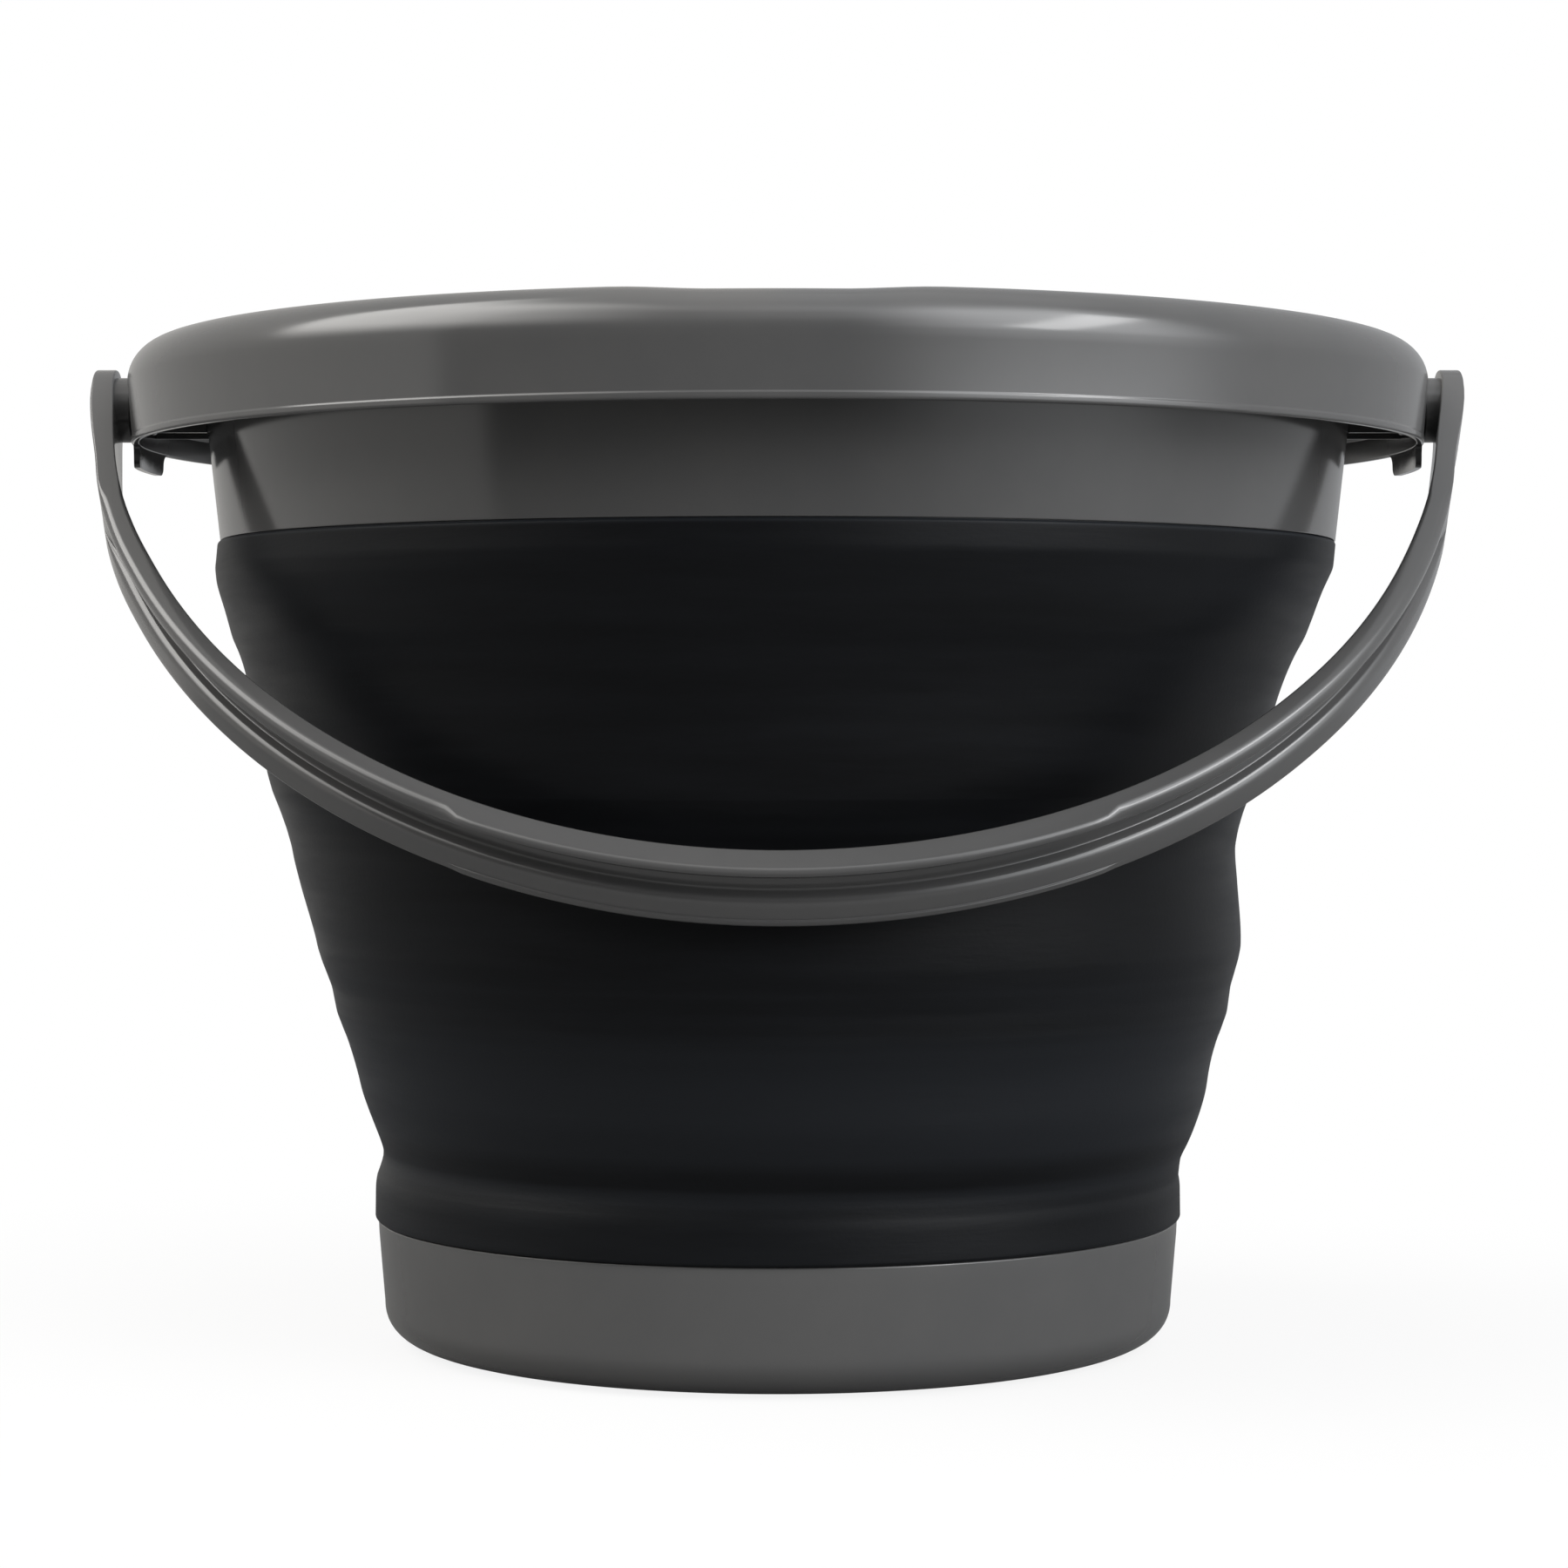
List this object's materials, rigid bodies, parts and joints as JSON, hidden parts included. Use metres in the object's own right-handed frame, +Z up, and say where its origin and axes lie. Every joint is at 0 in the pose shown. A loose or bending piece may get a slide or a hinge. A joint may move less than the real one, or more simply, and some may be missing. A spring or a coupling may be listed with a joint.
{
  "type": "collapsible camp bucket",
  "caption": "Round camp bucket with a rigid rim and base, a soft rubber wall that folds down in two steps, and a swinging bail handle.",
  "frame": {"origin": "centre of the foot plane under the base", "axes": "+Z up, +X along the handle's pivot axis, -Y the front with the pouring dip, towards which the bail leans"},
  "size_m": [0.347, 0.3266, 0.2505],
  "materials": {
    "grey_polypropylene": "satin moulded polypropylene",
    "black_soft_rubber": "matt thermoplastic rubber"
  },
  "bodies": {
    "base": {"base_cup": "grey_polypropylene", "wall_bottom_cuff": "black_soft_rubber", "wall_lower_panel": "black_soft_rubber"},
    "tier": {"wall_middle_tier": "black_soft_rubber", "wall_upper_panel": "black_soft_rubber"},
    "rim": {"rim": "grey_polypropylene", "wall_top_cuff": "black_soft_rubber"},
    "bail": {"bail": "grey_polypropylene"}
  },
  "joints": [
    {"name": "lower_fold", "type": "slide", "parent": "base", "child": "tier", "axis": [0, 0, -1], "range_m": [0, 0.064], "deforming": ["wall_lower_panel"]},
    {"name": "upper_fold", "type": "slide", "parent": "tier", "child": "rim", "axis": [0, 0, -1], "range_m": [0, 0.104], "deforming": ["wall_upper_panel"]},
    {"name": "bail_swing", "type": "hinge", "parent": "rim", "child": "bail", "pos_m": [0, 0, 0.2356], "axis": [-1, 0, 0], "range_deg": [0, 265]}
  ]
}
